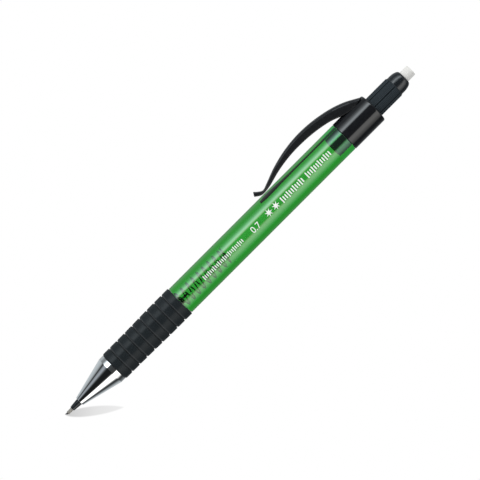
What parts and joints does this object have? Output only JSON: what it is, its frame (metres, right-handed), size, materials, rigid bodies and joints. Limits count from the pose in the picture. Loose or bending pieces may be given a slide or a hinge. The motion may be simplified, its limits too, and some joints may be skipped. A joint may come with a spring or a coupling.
{
  "type": "lead holder",
  "caption": "Push-button lead holder with a sliding nose, ribbed rubber grip, clear green barrel, sprung pocket clip and twist-out eraser in the end knob.",
  "frame": {"origin": "centre of the worn facet on the lead's writing point, on the holder's axis", "axes": "+Z along the holder's axis from the writing point to the eraser; the pocket clip is on the -X side; the printed side faces -Y"},
  "size_m": [0.0158, 0.0106, 0.1479],
  "materials": {
    "clear_green": "transparent green, polished",
    "clear_tube": "transparent, clear",
    "gloss_black": "moulded black, high gloss",
    "satin_black": "moulded black, satin",
    "grip_rubber": "soft-touch matte black",
    "brake_rubber": "matte black",
    "grey_plastic": "moulded dark grey",
    "eraser_white": "white vinyl eraser",
    "graphite": "polymer graphite lead",
    "chrome": "bright chrome plate",
    "steel": "drawn steel",
    "spring_steel": "spring wire",
    "brass": "turned brass"
  },
  "bodies": {
    "holder_body": {"barrel": "clear_green", "grip_sleeve": "grip_rubber", "tip_cone": "chrome", "chuck_housing": "grey_plastic", "clip_cap": "gloss_black", "slider_spring": "spring_steel", "return_spring": "spring_steel"},
    "clip": {"clip_arm": "gloss_black"},
    "nose": {"tip_slider": "satin_black", "lead_pipe": "steel", "lead_brake": "brake_rubber"},
    "clutch": {"clutch_ring": "brass"},
    "lead": {"writing_lead": "graphite"},
    "push_unit": {"lead_tube": "clear_tube", "chuck": "brass", "chuck_connector": "grey_plastic", "clutch_ball_1": "steel", "clutch_ball_2": "steel", "clutch_ball_3": "steel", "spiral_sleeve": "grey_plastic"},
    "knob": {"eraser_knob": "satin_black"},
    "eraser_unit": {"eraser_carrier": "grey_plastic", "eraser": "eraser_white"}
  },
  "joints": [
    {"name": "button_press", "type": "slide", "parent": "holder_body", "child": "push_unit", "axis": [0, 0, -1], "range_m": [0, 0.0036], "stiffness_N_per_m": 600, "springref_m": -0.002, "deforming": ["return_spring"]},
    {"name": "clutch_advance", "type": "slide", "parent": "holder_body", "child": "clutch", "axis": [0, 0, -1], "range_m": [0, 0.0012]},
    {"name": "lead_feed", "type": "slide", "parent": "clutch", "child": "lead", "axis": [0, 0, -1], "range_m": [-0.0009, 0.006]},
    {"name": "nose_retract", "type": "slide", "parent": "holder_body", "child": "nose", "axis": [0, 0, 1], "range_m": [0, 0.0022], "stiffness_N_per_m": 60, "springref_m": -0.001, "deforming": ["slider_spring"]},
    {"name": "knob_twist", "type": "hinge", "parent": "push_unit", "child": "knob", "pos_m": [0, 0, 0.1333], "axis": [0, 0, -1], "range_deg": [-181, 721]},
    {"name": "eraser_feed", "type": "slide", "parent": "knob", "child": "eraser_unit", "axis": [0, 0, 1], "range_m": [-0.003, 0.012]},
    {"name": "clip_flex", "type": "hinge", "parent": "holder_body", "child": "clip", "pos_m": [-0.0066, 0, 0.1235], "axis": [0, 1, 0], "range_deg": [0, 6], "stiffness_Nm_per_rad": 0.9, "springref_deg": -4.01}
  ],
  "couplings": [
    {"joint": "clutch_advance", "follows": "button_press", "ratio": 0.33333},
    {"joint": "knob_twist", "follows": "eraser_feed", "rad_per_m": 1047.2}
  ]
}
